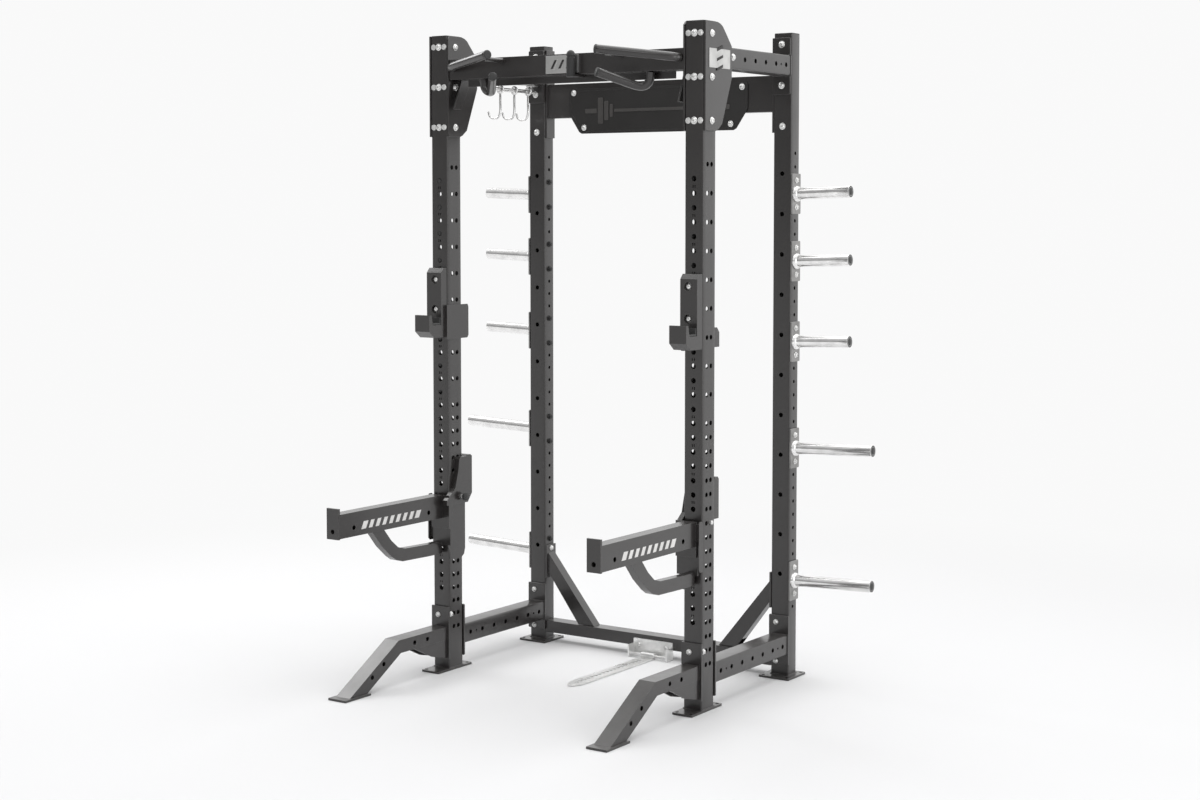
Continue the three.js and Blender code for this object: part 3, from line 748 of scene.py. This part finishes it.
def bent(bm, line, radius, sides=24, dome=(True, True)):
    """A round bar along a line, with domed ends where asked."""
    count = len(line)
    tangents = [(line[min(k + 1, count - 1)] - line[max(k - 1, 0)]).normalized() for k in range(count)]
    across = tangents[0].orthogonal().normalized()
    stations = []
    for point, tangent in zip(line, tangents):
        across = (across - tangent * across.dot(tangent)).normalized()
        stations.append((point, tangent, across, radius * MM))
    if dome[0]:
        p, t, a, r = stations[0]
        stations[:0] = [(p - t * r * DOME * math.sin(f), t, a, r * math.cos(f)) for f in (1.5, 1.1, 0.6)]
    if dome[1]:
        p, t, a, r = stations[-1]
        stations += [(p + t * r * DOME * math.sin(f), t, a, r * math.cos(f)) for f in (0.6, 1.1, 1.5)]
    rings = []
    for point, tangent, side_a, r in stations:
        side_b = tangent.cross(side_a)
        rings.append([bm.verts.new(point + r * (side_a * math.cos(w) + side_b * math.sin(w)))
                      for w in turns_of(sides)])
    for low, high in zip(rings, rings[1:]):
        skin(bm, low, high)
    close_ends(bm, rings[0], rings[-1])


print("turning and bending helpers ready")

# %% [markdown]
# Plate pegs: a chromed tube welded to a small plate, leaning up two degrees so that plates don't walk
# off. A black plastic plug with a paler ring is pushed into its end. The plate is held by two bolts
# through the post, with their nuts on its inner side.

# %% Plate pegs
PEG_LEAN = math.radians(2)
PEG_SEAT, PEG_PLATE_THICK = 38.3, 6
PEG_FACE = PEG_SEAT + PEG_PLATE_THICK
for side, s in SIDES:
    for k, n in enumerate(PEG_ROWS):
        label = "%d_%s" % (k + 1, side)
        low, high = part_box("plate_peg_" + label)
        root = (off_post(s, PEG_FACE), REAR_Y, row(n))
        lean = Vector((s * math.cos(PEG_LEAN), 0, math.sin(PEG_LEAN)))
        end = ((high[0] if s > 0 else -low[0]) - abs(root[0])) / MM + 11.3
        turned_piece("peg_tube_" + label,
                     [(0, 0), (0, 31), (3, 31), (5, 30), (11, 27), (13, 24.5), (14, 22.5), (end - 0.8, 22.5),
                      (end, 21.8), (end, 20.9), (end - 2, 20.5), (end - 2, 0)],
                     root, lean, CHROME, stands_for=("plate_peg_" + label,))
        plate_piece("peg_plate_" + label, 32.5, 76, 4,
                    (laid_on(s, PEG_SEAT, PEG_PLATE_THICK), REAR_Y, row(n)), "X", PEG_PLATE_THICK,
                    material=PLATE)
        tip = Vector(root) + lean * ((end - 1.8) * MM)
        turned_piece("peg_plug_" + label,
                     [(0, 0), (0, 20.2), (1.4, 20.2), (2, 19.4), (2, 18.4), (1.2, 18), (1.2, 13), (1.8, 12),
                      (2.2, 0)],
                     tip, lean, PLASTIC, stands_for=("peg_cap_" + label,))
        turned_piece("peg_ring_" + label, [(1.3, 13.4), (2.2, 14), (2.2, 17.2), (1.3, 17.8), (1.3, 13.4)],
                     tip, lean, RING)
print("plate pegs made")

# %% [markdown]
# The grips are bent 32 mm tubes: an upper pair that slants in front of the beam, held by a short
# strut, and a lower pair of loops under it. Plastic plugs close the free ends. The band peg is a
# rounded stub on a flat strap.

# %% Grips and band peg
GRIP_RADIUS, STRUT_RADIUS = 16, 9
UPPER_LINE = ((508, -38.6, 2322), (500, -54, 2323), (470, -80.3, 2327), (357, -125, 2341), (243, -169, 2355))
STRUT_LINE = ((268, -156, 2341), (268, -38.6, 2341))
LOWER_LINE = ((234, -147, 2275), (286, -84, 2249), (334, -27, 2228), (366, -18, 2240), (377, -20, 2278))
GRIP_PLUG = [(-1, 0), (-1, 16.6), (4, 16.8), (7, 14), (8, 9), (8, 0)]
BAND_PEG_X = 60 * MM


def bar_points(points, s):
    """Points given in millimetres: out to a side, behind the front posts' middle, and up."""
    return [Vector((s * x * MM, at_y(y), z * MM)) for x, y, z in points]


for side, s in SIDES:
    bm = bmesh.new()
    bent(bm, smooth_line(bar_points(UPPER_LINE, s), 8), GRIP_RADIUS, dome=(False, True))
    bent(bm, bar_points(STRUT_LINE, s), STRUT_RADIUS, 16, (False, False))
    finish_piece("upper_grip_bar_" + side, bm, BLACK, stands_for=("upper_grip_" + side,), smooth=50)
    bm = bmesh.new()
    bent(bm, smooth_line(bar_points(LOWER_LINE, s), 9), GRIP_RADIUS, dome=(True, False))
    finish_piece("lower_grip_bar_" + side, bm, BLACK, stands_for=("lower_grip_" + side,), smooth=50)
    for label, end, (dx, dy, dz) in (("upper", UPPER_LINE[-1], (-0.93, -0.36, 0.11)),
                                     ("lower", LOWER_LINE[0], (-0.6, -0.74, 0.3))):
        turned_piece("%s_grip_plug_%s" % (label, side), GRIP_PLUG, bar_points([end], s)[0],
                     (s * dx, dy, dz), PLASTIC)

low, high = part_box("band_peg")
turned_piece("band_peg_stub",
             [(0, 0), (0, 15), (1, 16), (70, 16), (72, 13.5), (75, 13.5), (77, 16.2), (86, 15.5), (93, 11),
              (96.6, 5), (97, 0)],
             (BAND_PEG_X, low[1] + 16 * MM, low[2]), (0, 0, 1), PLASTIC,
             stands_for=("band_peg",))
plate_piece("band_peg_strap", 15, (high[1] - low[1]) / 2 / MM - 9, 3,
            (BAND_PEG_X, (low[1] + high[1]) / 2 + 9 * MM, low[2] + 2 * MM), "Z", 8)
print("grips and band peg made")

# %% [markdown]
# The hooks are bent from 9 mm bar and hang from a short rail under the left tube. Each is one smooth
# line: a round eye over the rail, a straight shank and the J. They swing freely on the rail.

# %% Rail and hooks
HOOK_RADIUS = 4.5
EYE = 13.7 * MM
rail_low, rail_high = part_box("hook_rail")
rail_x = joints["hook_swing_1"]["pos_m"][0]
rail_z = joints["hook_swing_1"]["pos_m"][2]
turned_piece("rail_bar",
             [(0, 0), (0, 5), (1.5, 7.4), (3, 8), (277, 8), (278.5, 7.4), (280, 5), (280, 0)],
             (rail_x, rail_low[1], rail_z), (0, 1, 0), CHROME, stands_for=("hook_rail",))
for k, start in enumerate((rail_low[1] + 8 * MM, rail_high[1] - 20 * MM)):
    y = start + 6 * MM
    plate_piece("rail_hanger_%d" % (k + 1), 6, (rail_high[2] - rail_z) / 2 / MM - 1, 1.5,
                (rail_x - 4 * MM, y, (rail_high[2] + rail_z) / 2), "X", 8, material=CHROME)
    plate_piece("rail_pad_%d" % (k + 1), 20, 14, 3, (rail_x, y, rail_high[2] - 5 * MM), "Z", 5,
                material=CHROME)
for k in range(3):
    hook = "rack_hook_%d" % (k + 1)
    y = joints["hook_swing_%d" % (k + 1)]["pos_m"][1]
    eye = [Vector((rail_x - EYE * math.sin(a), y, rail_z + EYE * math.cos(a)))
           for a in (math.radians(150 - 325 * j / 20) for j in range(20))]
    shank = smooth_line([(rail_x - x * MM, y, z) for x, z in (
        (0, rail_z - EYE - 1 * MM), (0, 2.215), (0, 2.178), (8, 2.155), (30, 2.146), (52, 2.155),
        (60, 2.176))], 6)
    bm = bmesh.new()
    bent(bm, eye, HOOK_RADIUS, 14)
    bent(bm, shank, HOOK_RADIUS, 14, (False, True))
    finish_piece("hook_bar_%d" % (k + 1), bm, CHROME, hook, (hook,), smooth=60)
print("rail and hooks made")

# %% [markdown]
# The floor tie bar is a flat zinc strip with a row of holes and a tapered nose, rolled round the
# hinge pin at its rear end. The strip is an outline with chamfered rims, drilled in one boolean.

# %% Floor tie bar
TIE_THICK, TIE_HOLE = 6, 9
hinge = joints["tie_bar_hinge"]["pos_m"]
low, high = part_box("floor_tie_bar")
mid_x = (low[0] + high[0]) / 2
wide = (high[0] - low[0]) / 2 / MM
long = (hinge[1] - low[1]) / 2 / MM
bm = bmesh.new()
add_plate(bm, [(wide, long), (-wide, long), (-wide, 42 - long), (3 - wide, 34 - long), (-13, 2 - long),
               (-10, -long), (10, -long), (13, 2 - long), (wide - 3, 34 - long), (wide, 42 - long)],
          (mid_x, low[1] + long * MM, low[2]), "Z", TIE_THICK)
drills = bmesh.new()
hole_y = low[1] + 45 * MM
while hole_y < hinge[1] - 30 * MM:
    add_drill(drills, (mid_x, hole_y, low[2]), "Z", TIE_HOLE, 40, 28)
    hole_y += PITCH / 2
finish_piece("tie_strip", punched(bm, drills), ZINC, "floor_tie_bar", ("floor_tie_bar",))
turned_piece("tie_knuckle", [(-wide, 5.3), (-wide, 11), (1 - wide, 12), (wide - 1, 12), (wide, 11),
                             (wide, 5.3), (-wide, 5.3)],
             (mid_x, hinge[1], hinge[2]), (1, 0, 0), ZINC, body="floor_tie_bar")
print("tie bar made")

# %% [markdown]
# The arm pins are turned zinc bars with a grooved black pull knob. They pass through the arm's inner
# cheek and the post, and slide out towards the middle of the rack.

# %% Arm pins
KNOB = [(0, 0), (0, 13), (1.5, 15.5)]
for start in (3, 6, 9):
    KNOB += [(start, 16), (start + 0.8, 14.6), (start + 2, 14.6)]
KNOB += [(12.5, 16), (14, 14), (14, 8), (14, 0)]
for side, s in SIDES:
    low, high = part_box("arm_pin_" + side)
    inner = low[0] if s > 0 else high[0]
    y, z = joints["arm_lift_" + side]["pos_m"][1:]
    total = (high[0] - low[0]) / MM
    turned_piece("arm_pin_knob_" + side, KNOB, (inner, y, z), (s, 0, 0), PLASTIC, body="arm_pin_" + side)
    turned_piece("arm_pin_bar_" + side,
                 [(14, 0), (14, 8), (total - 2, 8), (total - 0.5, 7), (total, 5), (total, 0)],
                 (inner, y, z), (s, 0, 0), ZINC, body="arm_pin_" + side,
                 stands_for=("arm_pin_" + side,))
print("arm pins made")

# %% [markdown]
# Bolts hold it all together, and their bright heads are the first thing the eye finds on black steel.
# One head is a washer with a domed button on it and a round socket sunk into the dome. Small square
# heads clamp the corner plates. Heads that belong together are built into one mesh.

# %% Bolts
FORWARD = (0, -1, 0)
TOP_ROWS = (47, 44, 41)
GUSSET_FACE = 46.3  # from a post's middle to the outside of the plate on its side
WASHER_THICK = 2


def add_bolt(bm, point, direction, radius=10, washer=13, tall=6.5):
    turned(bm, [(-0.2, 0), (-0.2, washer), (1.4, washer), (WASHER_THICK, washer - 0.7), (WASHER_THICK, 0)],
           point, direction, 28)
    dome = ((0, 0), (0, 1), (0.45, 0.97), (0.8, 0.82), (1, 0.58), (1, 0.46), (0.35, 0.42), (0.35, 0))
    turned(bm, [(WASHER_THICK + tall * up, radius * out) for up, out in dome], point, direction, 24)


def bolts(name, places, body="rack", **sizes):
    bm = bmesh.new()
    for point, direction in places:
        add_bolt(bm, point, direction, **sizes)
    finish_piece(name, bm, ZINC, body, smooth=45)


def add_square_head(bm, point):
    half, tall, pad = 7, 6, 1.6
    turned(bm, [(0, half * 1.55), (0.4, half * 1.6), (pad, half * 1.5), (pad, 0)], point, FORWARD, 24)
    turned(bm, [(pad, half * 1.38), (tall - 1, half * 1.38), (tall, half * 1.2), (tall, 0)],
           point, FORWARD, 4)


for side, s in SIDES:
    x = s * POST_X
    outward, inward = (s, 0, 0), (-s, 0, 0)
    places = []
    heads = bmesh.new()
    for n in TOP_ROWS:
        places += [((off_post(s, GUSSET_FACE), POST_Y, row(n)), outward),
                   ((off_post(s, -GUSSET_FACE), POST_Y, row(n)), inward),
                   ((x, FRONT_FACE, row(n)), FORWARD)]
        for shift in (-25 * MM, 25 * MM):
            add_square_head(heads, (x + shift, FRONT_FACE, row(n)))
    places += [((x, at_y(583.7), row(n)), FORWARD) for n in (47, 44)]
    places += [((x, REAR_Y - REAR_HALF[1] * MM, row(41)), FORWARD),
               ((off_post(s, 38), at_y(158), 2.330), outward)]
    bolts("top_bolts_" + side, places)
    finish_piece("corner_heads_" + side, heads, ZINC, smooth=30)
    places = [((x - 10 * MM, at_y(-50.8), row(4) - 4 * MM), FORWARD)]
    places += [((x + i * FRONT_HALF[0] * MM, at_y(-33), row(4)), (i, 0, 0)) for i in (-1, 1)]
    places += [((x - 12 * MM, at_y(583.7), z), FORWARD) for z in (0.212, 0.062)]
    places += [((off_post(s, -GUSSET_FACE), REAR_Y, z), inward) for z in (0.320, 0.385)]
    bolts("base_bolts_" + side, places, radius=8.5, washer=10.5)
    peg_rows = [row(n + m) for n in PEG_ROWS for m in (-1, 1)]
    bolts("peg_bolts_" + side, [((off_post(s, PEG_FACE), REAR_Y, z), outward) for z in peg_rows],
          radius=8, washer=11, tall=7)
    nuts = bmesh.new()
    for z in peg_rows:
        turned(nuts, [(0, 12), (1.6, 12), (1.6, 9.5), (9, 9.5), (10, 8.2), (10, 5), (13, 4.6), (13, 0)],
               (off_post(s, -38), REAR_Y, z), inward, 24)
    finish_piece("peg_nuts_" + side, nuts, PLASTIC, smooth=30, slot="black_paint")
    bolts("cup_bolts_" + side, [((off_post(s, -3), at_y(-63.8), z), FORWARD) for z in (1.405, 1.519)],
          "j_cup_" + side, radius=10.5, washer=14, tall=8)

sign_low, sign_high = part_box("sign_plate")
corners = ((-392, 2254), (392, 2254), (-342, 2114), (342, 2114))
bolts("sign_bolts", [((x * MM, sign_low[1], z * MM), FORWARD) for x, z in corners], radius=9, washer=12)
clip_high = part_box("tie_clip")[1]
bolts("clip_bolts", [((x * MM, clip_high[1] - 6 * MM, 46 * MM), FORWARD) for x in (-63, 63)],
      radius=8, washer=11)
print("bolts made")

# %% [markdown]
# The long plate on the rear beam is a sign board. It carries a plain raised barbell: a bar and pairs
# of plates, as thin grey pads. Small brushed badges sit on the outer gussets. They and the badge on
# the front beam carry three slanted bars each.

# %% Sign motif and badges
BAR_PAD = (0, 196, 6)
PLATE_PADS = ((262, 12, 52), (234, 10, 38), (210, 7, 25), (308, 28, 9))
BADGE_Z, BADGE_THICK = 2.3185, 2
BAR_GAP, BAR_THICK, BAR_RIM = 34, 1, 0.2


def slanted_bar(name, outline, centre, axis):
    bm = bmesh.new()
    add_plate(bm, outline, centre, axis, BAR_THICK, BAR_RIM)
    finish_piece(name, bm, SIGN_FACE)


z_mid = (sign_low[2] + sign_high[2]) / 2
pads = [BAR_PAD] + [(i * x, w, h) for i in (-1, 1) for x, w, h in PLATE_PADS]
for k, (x, half_w, half_h) in enumerate(pads):
    plate_piece("sign_motif_%d" % (k + 1), half_h, half_w, min(half_w, half_h) * 0.45,
                (x * MM, sign_low[1] - 0.6 * MM, z_mid), "Y", 2.2, material=MOTIF)
for side, s in SIDES:
    plate_piece("gusset_badge_" + side, 71, 34, 4, (laid_on(s, GUSSET_FACE, BADGE_THICK), at_y(51), BADGE_Z),
                "X", BADGE_THICK, material=BADGE)
    x = laid_on(s, GUSSET_FACE + BADGE_THICK, BAR_THICK)
    for k in range(3):
        slanted_bar("gusset_badge_bar_%d_%s" % (k + 1, side), [(-20, -10), (20, 4), (20, 14), (-20, 0)],
                    (x, at_y(51), BADGE_Z + (k - 1) * BAR_GAP * MM), "X")
badge_low, badge_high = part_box("beam_badge")
z_mid = (badge_low[2] + badge_high[2]) / 2
for k in range(3):
    slanted_bar("beam_badge_bar_%d" % (k + 1), [(-16, -14), (-16, -4), (16, 14), (16, 4)],
                ((6 + (k - 1) * BAR_GAP) * MM, badge_low[1] - 0.5 * MM, z_mid), "Y")
print("motif and badges made")

# %% [markdown]
# Each spotter arm has a row of pale slanted bars painted on both sides. Paint has almost no thickness,
# so each bar is a thin patch three tenths of a millimetre proud of the tube.

# %% Painted bars on the arms
BARS, FIRST_BAR, BAR_STEP = 9, 148, 38
BAR_RISE, BAR_SLANT = 14, 7
ARM_HALF, ARM_Z = 25, 0.634
for side, s in SIDES:
    low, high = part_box("spotter_arm_" + side)
    for face in (-1, 1):
        x = s * POST_X + face * ARM_HALF * MM - (0.1 * MM if face > 0 else 0.3 * MM)
        bm = bmesh.new()
        for k in range(BARS):
            y = FIRST_BAR + BAR_STEP * k
            half = 13 if k in (0, BARS - 1) else 10
            add_plate(bm, [(y - half - BAR_SLANT, -BAR_RISE), (y + half - BAR_SLANT, -BAR_RISE),
                           (y + half + BAR_SLANT, BAR_RISE), (y - half + BAR_SLANT, BAR_RISE)],
                      (x, low[1], ARM_Z), "X", 0.4, 0.1)
        finish_piece("arm_bars_%s_%s" % (side, "out" if face * s > 0 else "in"), bm, LABEL,
                     "spotter_arm_" + side)
print("painted bars made")

# %% [markdown]
# The surround is a plain near-white room. Its brightness is one number, used by the floor and the
# world alike, and the picture is shown without a film curve, so that white stays white.

# %% Surround
SURROUND = 0.95
bpy.context.scene.view_settings.view_transform = "Standard"
print("surround", SURROUND)

# %% [markdown]
# The floor is a wide pale sheet. A studio sweep hides the line where floor meets wall; here the floor
# turns into a light of the surround's own colour with distance, which hides that line on every side.
# It belongs to the stage, not to the rack.

# %% Floor
FLOOR_TONE = (0.74, 0.74, 0.745)
DARK = (0.0, 0.0, 0.0)
FADE_FROM, FADE_TO = 1.6, 4.5
material, tree, shader = new_material("studio floor", FLOOR_TONE, 0.8)
place = tree.nodes.new("ShaderNodeTexCoord").outputs["Object"]
distance = tree.nodes.new("ShaderNodeVectorMath")
distance.operation = "LENGTH"
tree.links.new(place, distance.inputs[0])
far = tree.nodes.new("ShaderNodeMapRange")
far.interpolation_type = "SMOOTHSTEP"
far.inputs["From Min"].default_value = FADE_FROM
far.inputs["From Max"].default_value = FADE_TO
tree.links.new(distance.outputs["Value"], far.inputs["Value"])
tree.links.new(tint(tree, far.outputs[0], DARK, FLOOR_TONE), shader.inputs["Base Color"])
tree.links.new(tint(tree, far.outputs[0], (SURROUND, SURROUND, SURROUND), DARK),
               shader.inputs["Emission Color"])
shader.inputs["Emission Strength"].default_value = 1.0
shader.inputs["Specular IOR Level"].default_value = 0.0
bm = bmesh.new()
bmesh.ops.create_grid(bm, x_segments=8, y_segments=8, size=60)
mesh = bpy.data.meshes.new("studio_floor")
bm.to_mesh(mesh)
bm.free()
mesh.materials.append(material)
floor = bpy.data.objects.new("studio_floor", mesh)
floor.location.z = -0.0005
bpy.context.scene.collection.objects.link(floor)
print("floor made")

# %% [markdown]
# Light: large soft panels overhead and on the left, a gentle key from the left of the camera, a fill
# from the right and a pale room. The room is even where the camera sees it. As a light it is dim in
# front and bright behind, to the right and overhead, so each face of a black tube takes its own tone.

# %% Lights
world = bpy.data.worlds.new("pale surround")
bpy.context.scene.world = world
world.use_nodes = True
tree = world.node_tree
sky = tree.nodes["Background"]
facing = tree.nodes.new("ShaderNodeTexCoord").outputs["Generated"]
split = tree.nodes.new("ShaderNodeSeparateXYZ")
tree.links.new(facing, split.inputs[0])
right = math_node(tree, "MULTIPLY", math_node(tree, "ADD", split.outputs["X"], 0.1), 0.42, True)
behind = math_node(tree, "MULTIPLY", math_node(tree, "ADD", split.outputs["Y"], 0.1), 0.75, True)
above = math_node(tree, "MULTIPLY", math_node(tree, "SUBTRACT", split.outputs["Z"], 0.25), 0.9, True)
room = math_node(tree, "ADD", math_node(tree, "ADD", right, behind), math_node(tree, "ADD", above, 0.24))
seen = tree.nodes.new("ShaderNodeLightPath").outputs["Is Camera Ray"]
pick = tree.nodes.new("ShaderNodeMix")
tree.links.new(seen, pick.inputs[0])
tree.links.new(room, pick.inputs[2])
pick.inputs[3].default_value = SURROUND
tree.links.new(pick.outputs[0], sky.inputs["Strength"])
sky.inputs["Color"].default_value = (1.0, 1.0, 1.0, 1.0)


def soft_light(name, place, aim, size, power):
    data = bpy.data.lights.new(name, "AREA")
    data.shape = "RECTANGLE"
    data.size, data.size_y = size
    data.energy = power
    lamp = bpy.data.objects.new(name, data)
    lamp.location = place
    lamp.rotation_euler = (Vector(aim) - Vector(place)).to_track_quat("-Z", "Y").to_euler()
    bpy.context.scene.collection.objects.link(lamp)


soft_light("overhead panel", (0.3, 0.6, 5.2), (0, 0, 0), (5, 5), 90)
soft_light("left panel", (-5.4, 0.6, 5.2), (-0.6, -0.5, 0), (3, 3), 110)
soft_light("key panel", (0.5, -6.5, 5.6), (0, 0, 1.2), (2.5, 2.5), 45)
soft_light("side fill", (6.0, -0.5, 2.2), (0, 0.2, 1.2), (2.5, 3.5), 60)
print("lights set")

# %% [markdown]
# The camera stands a little to the right of the rack at eye height. Most of its downward look comes
# from a small tilt and the rest from a small lens shift, so the posts stay close to upright in the
# picture, and the rack stays in the frame when the camera is moved round it.

# %% Camera
camera_data = bpy.data.cameras.new("camera")
camera_data.sensor_width = 36.0
camera_data.lens = 59.180
camera_data.shift_y = -0.06
camera = bpy.data.objects.new("camera", camera_data)
camera.location = (4.2069, at_y(-5959), 1.8119)
camera.rotation_euler = (math.radians(86.370), 0, math.radians(34.286))
bpy.context.scene.collection.objects.link(camera)
bpy.context.scene.camera = camera
print("camera at", tuple(round(v, 3) for v in camera.location))
